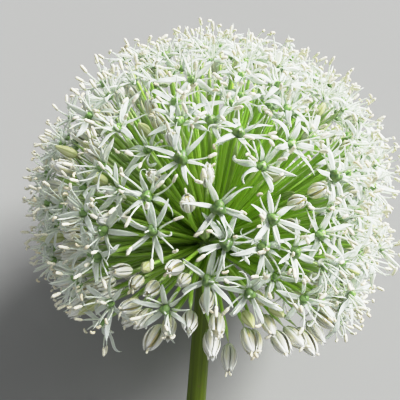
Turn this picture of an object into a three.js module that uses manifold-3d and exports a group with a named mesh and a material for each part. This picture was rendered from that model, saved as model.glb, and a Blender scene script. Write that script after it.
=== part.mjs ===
// Flower head of an ornamental allium: a globe of small star-shaped florets and buds on thin
// stalks, the pedicels, which radiate from the receptacle at the top of one cut stem.
// The flower lies on a surface: it rests on the florets under the globe, which its weight
// presses flat, and on the cut end of the stem.
// Units are millimetres and +Z is up. The stem runs along +Y towards the globe.
// The shapes are built upright, with the receptacle at the origin and the globe above it,
// and are then laid down. The side at -Y of the upright flower is its upper side as it lies.

import * as THREE from 'three';
import * as BufferGeometryUtils from 'three/addons/utils/BufferGeometryUtils.js';
import Module from 'manifold-3d';

const wasm = await Module();
wasm.setup();

// ---- Driving dimensions ----

// Globe of florets.
const GLOBE_RADIUS = 68; // out to the tips of the florets
const GLOBE_RISE = 13.5; // the globe's centre above the receptacle's centre
const PRESSED_DEPTH = 3; // how far the weight flattens the globe where it lies
const FIRST_RING = 7; // degrees from the top of the globe to the first ring of heads
const LAST_RING = 122; // degrees to the last ring, past which the globe is open round the stem
const RINGS = 9;
const HEAD_SPACING = 16.5; // between neighbours in a ring
const HEAD_SCATTER = 1.7; // most that a head strays from its even place
const LEAST_RING_SINE = 0.35; // keeps the stray sideways turn small in the rings near the top
const SHELL_DEPTH = 3.5; // some heads sit this much deeper than the outermost ones
const BUD_SHARE = 0.34; // the share of heads that are still buds
const BUD_SINK = 1.5; // buds reach less far out than open florets

// Stem.
const STEM_LENGTH = 140; // from the receptacle's centre to the cut end
const STEM_END_RADIUS = 4;
const STEM_END_BEVEL = 0.6; // length of the bruised edge round the cut
const STEM_PRESSED_DEPTH = 0.15; // the small flat where the cut end rests
const STEM_WAIST_RADIUS = 3.5; // its narrowest place
const STEM_WAIST_DEPTH = 12; // how far that is below its top
const STEM_TOP_RADIUS = 5.2; // flared where it meets the receptacle
// The flare's curve: shares of its widening, and of the waist's depth below the stem's top.
const STEM_FLARE = [[0.3, 0.4], [0.8, 0.1]];
const STEM_SIDES = 16;

// Receptacle, which is the knob that all pedicels grow from.
const RECEPTACLE_RADIUS = 7.5;
const RECEPTACLE_FOOT = 4.2; // its flat underside below its centre
const SEAM = 0.3; // the gap between neighbouring solids

// Pedicels, three-sided and about 1.2 mm thick.
const PEDICEL_RADIUS = 0.8;
const PEDICEL_ROOT_RADIUS = 0.62;
const PEDICEL_NECK = 1.7; // length over which a pedicel widens into its floret
const ROOT_SINK = 2; // how deep it is rooted in the receptacle
const NOD = 8; // most degrees that a head tilts from its pedicel, in each direction

// Open floret: six tepals, six stamens and an ovary, a little larger than life.
const PARTS = 6;
// A pair of numbers is a range, from which each tepal or stamen draws its own.
const FLORET_HEIGHT = 6.2; // from its foot to the tips of its stamens
const NOTCH_RADIUS = 1.8; // where neighbouring tepals part
const TEPAL_LENGTH = [8.6, 9.8]; // from the notch to the tip
const TEPAL_HALF_WIDTH = 1.55;
const TEPAL_THICKNESS = 0.75; // at its middle ridge
const RIDGE_OFFSET = 0.3; // from the notches' circle out to where the ridge starts
const TEPAL_BEND = [0.5, 0.6]; // where its widest place is, as a share of its length
const TEPAL_LIFT = [0.6, 2.4]; // its widest place above the notches
const TEPAL_DROOP = [-0.3, 2.6]; // how far its tip hangs below its widest place
const TEPAL_SWAY = [-5, 5]; // degrees that it bends sideways at its widest place
const TIP_SWAY = 1.5; // the tip's sideways bend, as a multiple of that
const STAMEN_REACH = [3.7, 5.1]; // sideways from the floret's axis
const STAMEN_HEIGHT = [FLORET_HEIGHT - 0.6, FLORET_HEIGHT + 0.6];
const STAMEN_SWAY = [-8, 8];
const OVARY_RADIUS = 1.2;
const OVARY_HEIGHT = 1.5;
const STYLE_HEIGHT = 3.8;

// Bud: an egg-shaped body.
const BUD_LENGTH = 8;
const BUD_RADIUS = 2.35;
const BUD_SIZE = [0.88, 1.05]; // range of its length and of its width
const BUD_WIDEST = 0.27; // share of its length from its foot to its widest place
const BUD_SHOULDER = 0.62; // share of its length to where it narrows to its tip
const BUD_SHOULDER_WIDTH = 0.86;

const THIRD_NAMES = ['umbel_third_under', 'umbel_third_left', 'umbel_third_right'];
const THIRD_ANGLE = 120; // degrees round the stem
const FIRST_SEAM = 30; // degrees round the stem to where the first third starts

const STEM_COLOUR = 0x77804f;
const STEM_ROUGHNESS = 0.55;
const UMBEL_COLOUR = 0xe6e8dc;
const UMBEL_ROUGHNESS = 0.6;

const SEED = 20417;

// ---- Lying position ----

// The angle of the stem to the surface, at which the pressed globe and the cut end both touch it.
const lyingHeight = GLOBE_RADIUS - PRESSED_DEPTH;
const centreToEnd = STEM_LENGTH + GLOBE_RISE - STEM_END_BEVEL;
const restingRadius = STEM_END_RADIUS - STEM_PRESSED_DEPTH;
const lyingAngle = Math.asin(lyingHeight / Math.hypot(centreToEnd, restingRadius))
  - Math.atan2(restingRadius, centreToEnd);

const flower = new THREE.Group();
flower.rotation.x = lyingAngle - Math.PI / 2;
flower.position.z = lyingHeight - GLOBE_RISE * Math.sin(lyingAngle);
flower.updateMatrixWorld(true);

// ---- Seeded random draws ----

const RANDOM_MODULUS = 2147483647;
const RANDOM_FACTOR = 48271;
let randomState = SEED;

function draw(low, high) {
  randomState = (randomState * RANDOM_FACTOR) % RANDOM_MODULUS;
  return low + (high - low) * (randomState / RANDOM_MODULUS);
}

// ---- Solids ----

function solidFrom(geometry) {
  const bare = geometry.clone();
  bare.deleteAttribute('normal');
  bare.deleteAttribute('uv');
  const merged = BufferGeometryUtils.mergeVertices(bare, 1e-4);
  return new wasm.Manifold(new wasm.Mesh({
    numProp: 3,
    vertProperties: new Float32Array(merged.attributes.position.array),
    triVerts: new Uint32Array(merged.index.array),
  }));
}

function geometryFrom(solid) {
  const mesh = solid.getMesh();
  const geometry = new THREE.BufferGeometry();
  geometry.setAttribute('position', new THREE.BufferAttribute(mesh.vertProperties, 3));
  geometry.setIndex(new THREE.BufferAttribute(mesh.triVerts, 1));
  geometry.computeVertexNormals();
  return geometry;
}

// A loose scrap, such as a tip that a cut parts from its floret, is dropped.
function largestBody(solid) {
  return solid.decompose().reduce((a, b) => (b.volume() > a.volume() ? b : a));
}

function shapeFrom(points, faces) {
  const geometry = new THREE.BufferGeometry();
  const numbers = points.flatMap((point) => point.toArray());
  geometry.setAttribute('position', new THREE.Float32BufferAttribute(numbers, 3));
  geometry.setIndex(faces.flat());
  return solidFrom(geometry);
}

// The surface that the flower lies on, in the upright flower's own coordinates.
function groundBlock() {
  const size = 4 * GLOBE_RADIUS + STEM_LENGTH;
  const block = new THREE.BoxGeometry(size, size, size);
  block.translate(0, 0, -size / 2);
  block.applyMatrix4(flower.matrixWorld.clone().invert());
  return solidFrom(block);
}

// ---- Where the heads stand ----

// Rings round the globe, with a whole number of heads to each third, set half a step off the
// seams between the thirds, so that no head stands on a seam.
function headPlaces() {
  const places = [];
  for (let ring = 0; ring < RINGS; ring += 1) {
    const polar = THREE.MathUtils.degToRad(FIRST_RING + (LAST_RING - FIRST_RING) * ring / (RINGS - 1));
    const girth = 2 * Math.PI * GLOBE_RADIUS * Math.sin(polar);
    const perThird = Math.max(1, Math.round(girth / (THIRD_NAMES.length * HEAD_SPACING)));
    const count = perThird * THIRD_NAMES.length;
    for (let i = 0; i < count; i += 1) {
      const scatter = HEAD_SCATTER / GLOBE_RADIUS;
      const tilt = polar + draw(-scatter, scatter);
      const turn = THREE.MathUtils.degToRad(FIRST_SEAM) + (i + 0.5) * 2 * Math.PI / count
        + draw(-scatter, scatter) / Math.max(Math.sin(polar), LEAST_RING_SINE);
      places.push({
        third: Math.floor(i / perThird),
        outward: new THREE.Vector3(
          Math.sin(tilt) * Math.cos(turn), Math.sin(tilt) * Math.sin(turn), Math.cos(tilt)),
        depth: draw(0, SHELL_DEPTH),
        isBud: draw(0, 1) < BUD_SHARE,
      });
    }
  }
  return places;
}

// Three axes for a head: z along its stalk, with x and y turned by a random twist.
function headAxes(direction) {
  const turn = new THREE.Quaternion().setFromUnitVectors(new THREE.Vector3(0, 0, 1), direction);
  const twist = new THREE.Quaternion().setFromAxisAngle(new THREE.Vector3(0, 0, 1), draw(0, 2 * Math.PI));
  return turn.multiply(twist);
}

// ---- Heads ----

function aroundAxis(degrees, radius, height) {
  const angle = THREE.MathUtils.degToRad(degrees);
  return new THREE.Vector3(radius * Math.cos(angle), radius * Math.sin(angle), height);
}

// The underside that closes a ring of six points, numbered from `ring`, down to the three points
// of a pedicel, from `top`, and the pedicel down to its root, from `root`.
function pedicelFaces(ring, top, root) {
  const faces = [];
  for (let j = 0; j < 3; j += 1) {
    const next = (j + 1) % 3;
    const here = ring + 2 * j;
    const after = ring + (2 * j + 1) % PARTS;
    const before = ring + (2 * j + PARTS - 1) % PARTS;
    faces.push([after, here, top + j], [here, before, top + j], [after, top + j, top + next]);
    faces.push([top + next, top + j, root + j], [top + next, root + j, root + next]);
  }
  faces.push([root, root + 2, root + 1]);
  return faces;
}

// The three-sided pedicel's points, first at its top and then at its root.
function pedicelPoints(foot, direction, axes) {
  const along = new THREE.Quaternion().setFromUnitVectors(
    new THREE.Vector3(0, 0, 1).applyQuaternion(axes), direction).multiply(axes);
  const root = direction.clone().multiplyScalar(RECEPTACLE_RADIUS - ROOT_SINK);
  const neck = foot.clone().addScaledVector(direction, -PEDICEL_NECK);
  const ends = [[neck, PEDICEL_RADIUS], [root, PEDICEL_ROOT_RADIUS]];
  return ends.flatMap(([end, radius]) => [30, 150, 270].map(
    (angle) => aroundAxis(angle, radius, 0).applyQuaternion(along).add(end)));
}

// One closed surface: the ovary's dome, a thin pyramid for each stamen, a ridged blade that
// bends at its widest place for each tepal, and the underside with the pedicel.
function openFloret(foot, direction, axes) {
  const points = [new THREE.Vector3(0, 0, STYLE_HEIGHT)];
  const rings = {};
  const addRing = (name, makePoint) => {
    rings[name] = points.length;
    for (let i = 0; i < PARTS; i += 1) points.push(makePoint(60 * i, i));
  };
  addRing('ovary', (angle) => aroundAxis(angle, OVARY_RADIUS, OVARY_HEIGHT));
  addRing('notch', (angle) => aroundAxis(angle + 30, NOTCH_RADIUS, 0));
  addRing('ridge', (angle) => aroundAxis(angle, NOTCH_RADIUS + RIDGE_OFFSET, TEPAL_THICKNESS));
  addRing('stamen', (angle) => aroundAxis(
    angle + draw(...STAMEN_SWAY), draw(...STAMEN_REACH), draw(...STAMEN_HEIGHT)));

  const tepals = Array.from({ length: PARTS }, () => {
    const length = draw(...TEPAL_LENGTH);
    return {
      sway: draw(...TEPAL_SWAY),
      bend: NOTCH_RADIUS + length * draw(...TEPAL_BEND),
      reach: NOTCH_RADIUS + length,
      lift: draw(...TEPAL_LIFT),
      droop: draw(...TEPAL_DROOP),
    };
  });
  const addTepalRing = (name, side, rise) => addRing(name, (angle, i) => {
    const { sway, bend, lift } = tepals[i];
    const aside = THREE.MathUtils.radToDeg(Math.atan2(side * TEPAL_HALF_WIDTH, bend));
    return aroundAxis(angle + sway + aside, bend, lift + rise);
  });
  addTepalRing('right', -1, 0);
  addTepalRing('left', 1, 0);
  addTepalRing('middle', 0, TEPAL_THICKNESS);
  addRing('tip', (angle, i) => {
    const { sway, reach, lift, droop } = tepals[i];
    return aroundAxis(angle + TIP_SWAY * sway, reach, lift - droop);
  });
  points.forEach((point) => point.applyQuaternion(axes).add(foot));
  const top = points.length;
  points.push(...pedicelPoints(foot, direction, axes));

  const faces = pedicelFaces(rings.notch, top, top + 3);
  for (let i = 0; i < PARTS; i += 1) {
    const nextOvary = rings.ovary + (i + 1) % PARTS;
    const notchBefore = rings.notch + (i + PARTS - 1) % PARTS;
    const [ovary, notch, ridge, stamen, right, left, middle, tip] = Object.values(rings).map(
      (start) => start + i);
    faces.push([0, ovary, nextOvary], [ovary, notch, nextOvary]);
    faces.push([ovary, notchBefore, stamen], [notchBefore, ridge, stamen]);
    faces.push([ridge, notch, stamen], [notch, ovary, stamen]);
    faces.push([notchBefore, right, middle], [notchBefore, middle, ridge]);
    faces.push([ridge, middle, left], [ridge, left, notch]);
    faces.push([notch, left, right], [notch, right, notchBefore]);
    faces.push([right, tip, middle], [middle, tip, left], [left, tip, right]);
  }
  return shapeFrom(points, faces);
}

// A bud: two rings of six points under one tip.
function bud(foot, direction, axes) {
  const length = BUD_LENGTH * draw(...BUD_SIZE);
  const radius = BUD_RADIUS * draw(...BUD_SIZE);
  const rings = [[radius, BUD_WIDEST * length], [BUD_SHOULDER_WIDTH * radius, BUD_SHOULDER * length]];
  const points = [new THREE.Vector3(0, 0, length)];
  rings.forEach(([width, height]) => {
    for (let i = 0; i < PARTS; i += 1) points.push(aroundAxis(60 * i + 30, width, height));
  });
  points.forEach((point) => point.applyQuaternion(axes).add(foot));
  const lower = 1;
  const upper = lower + PARTS;
  const top = points.length;
  points.push(...pedicelPoints(foot, direction, axes));

  const faces = pedicelFaces(lower, top, top + 3);
  for (let i = 0; i < PARTS; i += 1) {
    const next = (i + 1) % PARTS;
    faces.push([0, upper + i, upper + next]);
    faces.push([upper + i, lower + i, upper + next], [lower + i, lower + next, upper + next]);
  }
  return shapeFrom(points, faces);
}

// A head's tip is on the globe, and its pedicel runs straight from the receptacle to its foot.
function head(place) {
  const height = place.isBud ? BUD_LENGTH + BUD_SINK : FLORET_HEIGHT;
  const tip = place.outward.clone().multiplyScalar(GLOBE_RADIUS - place.depth);
  tip.z += GLOBE_RISE;
  const direction = tip.clone().normalize();
  const foot = direction.clone().multiplyScalar(tip.length() - height);
  const nod = THREE.MathUtils.degToRad(NOD);
  const facing = direction.clone()
    .add(new THREE.Vector3(draw(-nod, nod), draw(-nod, nod), draw(-nod, nod))).normalize();
  const make = place.isBud ? bud : openFloret;
  return make(foot, direction, headAxes(facing));
}

// ---- Receptacle and thirds ----

// A wedge round the stem's axis that holds one third of the globe, clear of the seams.
function thirdWedge(index) {
  const far = 3 * GLOBE_RADIUS;
  const half = THIRD_ANGLE / 2;
  const middle = THREE.MathUtils.degToRad(FIRST_SEAM + THIRD_ANGLE * index + half);
  const apex = SEAM / 2 / Math.sin(THREE.MathUtils.degToRad(half));
  const corner = new THREE.Vector2(apex * Math.cos(middle), apex * Math.sin(middle));
  const outer = [-half, -half / 3, half / 3, half].map((side) => {
    const angle = middle + THREE.MathUtils.degToRad(side);
    return new THREE.Vector2(far * Math.cos(angle), far * Math.sin(angle)).add(corner);
  });
  const shape = new THREE.Shape([corner, ...outer]);
  const wedge = new THREE.ExtrudeGeometry(shape, { depth: 2 * far, bevelEnabled: false });
  wedge.translate(0, 0, -far);
  return solidFrom(wedge);
}

function receptacle() {
  const knob = solidFrom(new THREE.IcosahedronGeometry(RECEPTACLE_RADIUS, 1));
  const size = 4 * RECEPTACLE_RADIUS;
  const below = new THREE.BoxGeometry(size, size, size);
  below.translate(0, 0, -size / 2 - RECEPTACLE_FOOT);
  return knob.subtract(solidFrom(below));
}

function umbelThird(index, places, knob, ground) {
  const heads = places.filter((place) => place.third === index).map(head);
  const joined = wasm.Manifold.union([knob, ...heads]);
  return largestBody(joined.intersect(thirdWedge(index)).subtract(ground));
}

// ---- Stem ----

// A turned profile, from the cut end at the bottom to the flare under the receptacle.
function stem(ground) {
  const end = -STEM_LENGTH;
  const top = -RECEPTACLE_FOOT - SEAM;
  const widening = STEM_TOP_RADIUS - STEM_WAIST_RADIUS;
  const flare = STEM_FLARE.map(
    ([share, depth]) => [STEM_WAIST_RADIUS + share * widening, top - depth * STEM_WAIST_DEPTH]);
  const profile = [
    [0, end],
    [STEM_END_RADIUS - STEM_END_BEVEL / 2, end],
    [STEM_END_RADIUS, end + STEM_END_BEVEL],
    [STEM_WAIST_RADIUS, top - STEM_WAIST_DEPTH],
    ...flare,
    [STEM_TOP_RADIUS, top],
    [0, top],
  ].map(([radius, height]) => new THREE.Vector2(radius, height));
  const turned = new THREE.LatheGeometry(profile, STEM_SIDES);
  turned.rotateX(Math.PI / 2);
  return solidFrom(turned).subtract(ground);
}

// ---- Assembly ----

function addNode(name, solid, color, roughness) {
  const material = new THREE.MeshStandardMaterial({ color, roughness, metalness: 0 });
  const mesh = new THREE.Mesh(geometryFrom(solid), material);
  mesh.name = name;
  flower.add(mesh);
}

const ground = groundBlock();
const places = headPlaces();
const knob = receptacle();
addNode('stem', stem(ground), STEM_COLOUR, STEM_ROUGHNESS);
THIRD_NAMES.forEach((name, index) => {
  addNode(name, umbelThird(index, places, knob, ground), UMBEL_COLOUR, UMBEL_ROUGHNESS);
});

// The origin is on the surface, under the middle of the whole flower's box.
const part = new THREE.Group();
part.add(flower);
part.updateMatrixWorld(true);
const middle = new THREE.Box3().setFromObject(part, true).getCenter(new THREE.Vector3());
flower.position.x -= middle.x;
flower.position.y -= middle.y;
part.updateMatrixWorld(true);

export default part;
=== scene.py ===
"""The finished look of an allium flower head: one cut stem with a globe of white florets.

It lies on the florets under its globe and on its cut end. Each piece is a set of closed tubes or
blades, worked out as whole arrays: a path for each one, and a profile carried along it. Lengths
are in metres, angles in radians, and colours are linear.
"""

import math
from collections import namedtuple

import bpy
import mathutils
import numpy as np
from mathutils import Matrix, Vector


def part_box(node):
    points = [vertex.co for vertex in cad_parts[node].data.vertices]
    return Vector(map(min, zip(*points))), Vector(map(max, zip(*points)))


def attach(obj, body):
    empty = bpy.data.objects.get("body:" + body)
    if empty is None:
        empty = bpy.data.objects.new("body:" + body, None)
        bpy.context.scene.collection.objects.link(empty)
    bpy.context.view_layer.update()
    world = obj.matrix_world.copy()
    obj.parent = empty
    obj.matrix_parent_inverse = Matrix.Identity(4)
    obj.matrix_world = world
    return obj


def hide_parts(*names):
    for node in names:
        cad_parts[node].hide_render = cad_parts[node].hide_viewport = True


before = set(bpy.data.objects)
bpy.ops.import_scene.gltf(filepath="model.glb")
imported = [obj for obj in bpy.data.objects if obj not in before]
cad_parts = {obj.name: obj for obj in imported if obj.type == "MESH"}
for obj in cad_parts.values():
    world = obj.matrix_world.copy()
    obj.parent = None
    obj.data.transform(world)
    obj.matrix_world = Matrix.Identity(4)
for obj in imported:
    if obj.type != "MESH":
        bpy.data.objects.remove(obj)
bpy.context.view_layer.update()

bl_info = {
    "name": "Allium Flower Head",
    "version": (1, 0, 0),
    "blender": (4, 5, 0),
    "location": "3D View > Sidebar > Allium",
    "description": "Builds the florets, buds, stalks and stem of an allium flower head",
    "category": "Add Mesh",
}

MM = 0.001
TAU = 2 * math.pi

# ---- Driving dimensions, the same as the solids' ----

GLOBE_RADIUS = 68 * MM  # out to the tips of the florets
GLOBE_RISE = 13.5 * MM  # the globe's centre above the receptacle's
PRESSED_DEPTH = 3 * MM  # how far the globe is flattened where it lies
OPEN_FROM = math.radians(127)  # from the globe's top to where it is open round the stem
STEM_LENGTH = 140 * MM
STEM_END_RADIUS = 4 * MM
STEM_END_BEVEL = 0.6 * MM
STEM_PRESSED_DEPTH = 0.15 * MM
STEM_WAIST_RADIUS = 3.5 * MM
STEM_WAIST_DEPTH = 12 * MM
STEM_TOP_RADIUS = 5.2 * MM
STEM_TOP_DEPTH = 4.5 * MM  # its flat top below the receptacle's centre
RECEPTACLE_RADIUS = 7.5 * MM
THIRDS = ("under", "left", "right")
FIRST_SEAM = math.radians(30)

# ---- How the flower lies ----

LYING_HEIGHT = GLOBE_RADIUS - PRESSED_DEPTH
CENTRE_TO_END = STEM_LENGTH + GLOBE_RISE - STEM_END_BEVEL
RESTING_RADIUS = STEM_END_RADIUS - STEM_PRESSED_DEPTH
LYING_ANGLE = (math.asin(LYING_HEIGHT / math.hypot(CENTRE_TO_END, RESTING_RADIUS))
               - math.atan2(RESTING_RADIUS, CENTRE_TO_END))
SIDE = np.array([1.0, 0.0, 0.0])
STEMWARD = np.array([0.0, math.cos(LYING_ANGLE), math.sin(LYING_ANGLE)])  # from the cut end to the globe
FACING = np.array([0.0, -math.sin(LYING_ANGLE), math.cos(LYING_ANGLE)])  # out of the side that shows
STEM_LOW, STEM_HIGH = (np.array(corner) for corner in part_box("stem"))
RECEPTACLE = np.array([
    (STEM_LOW[0] + STEM_HIGH[0]) / 2,
    STEM_HIGH[1] + STEM_TOP_DEPTH * math.cos(LYING_ANGLE) - STEM_TOP_RADIUS * math.sin(LYING_ANGLE),
    LYING_HEIGHT - GLOBE_RISE * math.sin(LYING_ANGLE),
])
GLOBE_CENTRE = RECEPTACLE + GLOBE_RISE * STEMWARD

# ---- The camera, and the florets that it sees best ----

PHOTO_SIDE = 400  # pixels
FOCAL_PIXELS = 442
CAMERA_DISTANCE = 2.5 * GLOBE_RADIUS
CAMERA_PLACE = GLOBE_CENTRE + CAMERA_DISTANCE * FACING
CAMERA_ROLL = math.radians(4.5)
GLOBE_PIXEL = (211, 208)  # where the globe's centre is in the picture

# Pixels of the nearest ovaries and buds. Each one stands on the globe where the camera sees it there.
# The last number of an open floret is the width of its ovary, in pixels. A star also has, before it,
# the turn of its tepals: degrees from the picture's right, towards its bottom.
FRONT_STARS = (
    (181, 158, 20, 15), (218, 206, 15, 16), (226, 243, 47, 14), (264, 247, 35, 13.5), (262, 165, 24, 10),
    (239, 133, 22, 13), (146, 196, 15, 11.5), (153, 231, 20, 12.5), (208, 281, 42, 13), (165, 310, 20, 11),
    (251, 293, 15, 12), (273, 218, 18, 13), (305, 299, 22, 9.5),
)
FRONT_OVARIES = (
    (210, 120, 11.5), (179, 120, 10), (291, 142, 10), (287, 108, 9), (117, 127, 8.5), (102, 165, 10),
    (102, 230, 11), (97, 256, 11), (83, 212, 9), (74, 277, 8.5), (110, 304, 9), (294, 252, 12),
    (322, 234, 10.5), (361, 254, 7.5), (372, 260, 7), (352, 294, 9), (89, 115, 8.5), (191, 77, 7.5),
    (210, 57, 5.5), (242, 74, 8), (278, 63, 6), (246, 59, 6), (327, 96, 5.5), (362, 121, 6), (345, 108, 6),
    (335, 175, 13), (326, 265, 8), (358, 143, 6),
)
FRONT_BUDS = ((143, 268), (92, 304), (270, 172), (69, 150), (276, 311), (259, 299), (247, 318))
FRONT_LANTERNS = (
    (152, 287), (155, 175), (108, 215), (219, 321), (211, 337), (231, 353), (258, 338), (279, 339),
    (306, 335), (189, 319), (166, 325), (83, 300), (112, 297), (97, 148), (176, 138), (318, 190),
    (296, 202), (66, 166), (248, 336), (270, 322), (291, 335), (316, 328), (157, 333), (179, 267),
    (135, 309), (146, 316),
)
TIPPED_LANTERNS = ((207, 182), (187, 208))
FRONT_YOUNG_BUDS = ((204, 236),)

ALL_KINDS = OPEN, BUD, LANTERN, YOUNG = range(4)
# The placed heads: pixels, kind, and how deep under the globe's outside they stand.
PLACED = (
    (FRONT_STARS, OPEN, 5.5 * MM), (FRONT_OVARIES, OPEN, 5.5 * MM), (FRONT_BUDS, BUD, 8.5 * MM),
    (FRONT_LANTERNS, LANTERN, 8 * MM), (TIPPED_LANTERNS, LANTERN, 8 * MM), (FRONT_YOUNG_BUDS, YOUNG, 14 * MM),
)

# ---- All other heads, which are spread by a rule ----

KIND_SHARES = (0.64, 0.08, 0.22, 0.06)  # in the order of the kinds
LEFT_BUD_SHARE = 0.22  # of the open florets of the globe's left side, which become opening buds
LOW_BUD_SHARE = 0.4  # the same for the lower globe
SPREAD_DEPTHS = (5 * MM, 11 * MM)  # under the globe's outside
CLEARANCE = 5.8 * MM  # from a placed head
FRONT_CLEARANCE = 12 * MM  # the same near the middle of the picture, where only young buds are spread
FRONT_ANGLE = math.radians(21)  # how wide that middle is
YOUNG_REACH = (0.72, 0.9)  # how far along their way to the globe young buds stand
BUD_REACH = (0.88, 0.96)  # the same for closed and opening buds
YOUNG_BUD_SCALE = 0.72
FILAMENT_SEED = 29
STEM_SEED = 3

# ---- Light and tone ----

TISSUE_RADIUS = (1.0, 1.0, 0.8)  # how far red, green and blue light spread in plant tissue, in proportion
LIGHT_DISTANCE = 2.4
KEY_SPREAD = math.radians(35)  # as wide as a large soft box close by
KEY_ENERGY = 9.4
KEY_DIRECTION = 0.93 * SIDE + 1.03 * STEMWARD + 0.42 * FACING
FILL_SIZE = 2.1
FILL_ENERGY = 8.0
FILL_DIRECTION = 0.3 * SIDE + 0.1 * STEMWARD + 0.9 * FACING
SKY_COLOUR = (0.95, 0.975, 1.0, 1.0)
SKY_STRENGTH = 0.32
FLOOR_HALF = 5.0
BRIGHTEST = 2.0  # the light that the tone curve ends at
TONE_CURVE = ((0.175, 0.35), (0.35, 0.68), (0.6, 0.85))  # shares of that light, and how they are shown
TONE_END = (1.0, 0.95)

# ---- Tones that are mixed with the colours that a user may change ----

TEPAL_LINE = (0.46, 0.54, 0.36)
TEPAL_BASE = (0.68, 0.75, 0.56)
FILAMENT_FOOT = (0.55, 0.68, 0.42)
FRESH_ANTHER = (0.87, 0.84, 0.68)
OVARY_MOTTLE = (0.07, 0.135, 0.035)
YOUNG_OVARY = (0.19, 0.35, 0.075)
YOUNG_OVARY_MOTTLE = (0.27, 0.44, 0.14)
# Lobes and grooves of the ovaries: partly their own tone and lines, partly painted highlight and painted
# shade.
OVARY_LOBE_TONE_AND_LIGHT = (0.20, 0.36, 0.11)
OVARY_GROOVE_LINE_AND_SHADE = (0.035, 0.10, 0.025)
OVARY_TOP = (0.34, 0.5, 0.2)
# Painted light on the stalks: a bright root against the shade deep in the globe, and pale streaks that are
# partly painted highlights.
PEDICEL_ROOT_PAINTED_LIGHT = (0.6, 0.9, 0.1)
PEDICEL_STREAK_AND_HIGHLIGHT = (0.58, 0.78, 0.26)
PEDICEL_TOP = (0.42, 0.56, 0.22)
# Young buds: their own green, made darker still as painted shade, since they sit deep in the globe.
YOUNG_BUD = (0.32, 0.43, 0.14)
YOUNG_BUD_STRIPE = (0.17, 0.28, 0.07)
BUD_CREAM = (0.88, 0.87, 0.74)
BUD_FOOT = (0.58, 0.67, 0.4)
BUD_EDGE = (0.92, 0.93, 0.85)
BUD_LINE = (0.62, 0.55, 0.28)
BUD_TIP = (0.92, 0.93, 0.86)
CORE_ANTHERS = (0.6, 0.53, 0.22)
PALE_CORE_ANTHERS = (0.88, 0.72, 0.38)
CORE_THREADS = (0.3, 0.37, 0.14)
# Painted shade in the gaps between the stamens of an opening bud.
CORE_GAP_SHADE = (0.2, 0.23, 0.08)
STEM_FLECK = (0.12, 0.075, 0.03)
STEM_BLOOM = (0.28, 0.34, 0.18)
PITH = (0.42, 0.5, 0.24)
PALE_PITH = (0.62, 0.68, 0.42)
PITH_RIM = (0.2, 0.27, 0.07)

Surface = namedtuple("Surface", "points quads triangles uv shade")
Heads = namedtuple("Heads", "foot axis start kind third grown shade")


# ---- Sizes and colours that a user may change ----

def metres(name, description, millimetres):
    """A length, given in millimetres."""
    return bpy.props.FloatProperty(name=name, description=description, default=millimetres * MM,
                                   min=0.0, unit="LENGTH", precision=5)


def tint(name, description, default):
    """A colour."""
    return bpy.props.FloatVectorProperty(name=name, description=description, default=default,
                                         subtype="COLOR", min=0.0, max=1.0)


class AlliumSizes(bpy.types.PropertyGroup):
    """Sizes of the flower's own parts."""

    head_count: bpy.props.IntProperty(
        name="Heads", description="Florets and buds of the whole spiral", default=690, min=1)
    tepal_length: metres("Tepal length", "From the ovary to the tip", 9.0)
    tepal_width: metres("Tepal width", "At its widest place", 1.85)
    filament_length: metres("Filament length", "From the ovary to the anther", 7.0)
    anther_length: metres("Anther length", "Of an anther that is still closed", 3.0)
    ovary_radius: metres("Ovary radius", "Of a full-grown ovary at its widest place", 1.9)
    pedicel_radius: metres("Pedicel radius", "Of the stalk under each floret", 0.62)
    bud_length: metres("Bud length", "Of a bud that is about to open", 8.2)
    bud_radius: metres("Bud radius", "At its widest place", 1.8)
    seed: bpy.props.IntProperty(name="Seed", description="Changes all random draws", default=7)


class AlliumColours(bpy.types.PropertyGroup):
    """Main colours of the flower and of the stage."""

    # The whites of the tepals and filaments are tinted green: partly the tissue's own green, partly painted
    # green bounce light.
    tepal: tint("Tepals", "White at their edges", (0.80, 0.885, 0.78))
    tepal_middle: tint("Tepal middles", "Along the thin middle", (0.61, 0.69, 0.585))
    filament: tint("Filaments", "Filaments and styles", (0.77, 0.845, 0.71))
    anther: tint("Anthers", "Spent anthers", (0.79, 0.71, 0.51))
    ovary: tint("Ovaries", "Full-grown green centres", (0.105, 0.175, 0.03))
    pedicel: tint("Pedicels", "The stalks", (0.335, 0.615, 0.035))
    bud: tint("Opening buds", "Cream blades", (0.76, 0.74, 0.48))
    closed_bud: tint("Closed buds", "Greenish cream", (0.62, 0.65, 0.36))
    bud_stripe: tint("Bud stripes", "Green lines on the buds", (0.40, 0.44, 0.16))
    stem: tint("Stem", "The cut stem", (0.082, 0.122, 0.004))
    floor: tint("Floor", "The pale surface", (0.265, 0.265, 0.26))


# ---- Arrays ----

def unit(vectors):
    """Each vector divided by its length."""
    return vectors / np.linalg.norm(vectors, axis=-1, keepdims=True)


def smooth(values):
    """0 below 0, 1 above 1, and the cubic 3v^2 - 2v^3 between them."""
    clipped = np.clip(values, 0, 1)
    return clipped * clipped * (3 - 2 * clipped)


def sideways(axis, rng):
    """For each axis a unit vector square to it, at a random turn round it."""
    helper = np.where(np.abs(axis[:, 2:]) > 0.9, [[1.0, 0.0, 0.0]], [[0.0, 0.0, 1.0]])
    across = unit(np.cross(axis, helper))
    turn = rng.uniform(0, TAU, (len(axis), 1))
    return across * np.cos(turn) + np.cross(axis, across) * np.sin(turn)


def around(sides):
    """Even turns round a profile."""
    return np.linspace(0, TAU, sides, endpoint=False)


def pressed(points):
    """Below a small height h, z becomes h * exp((z - h) / h), so the lowest florets lie nearly flat
    and none is under the surface."""
    ease = 2.5 * MM
    height = points[..., 2]
    eased = ease * np.exp(np.minimum(height - ease, 0) / ease)
    result = points.copy()
    result[..., 2] = np.where(height < ease, eased, height)
    return result


# ---- Tubes and blades ----

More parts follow.
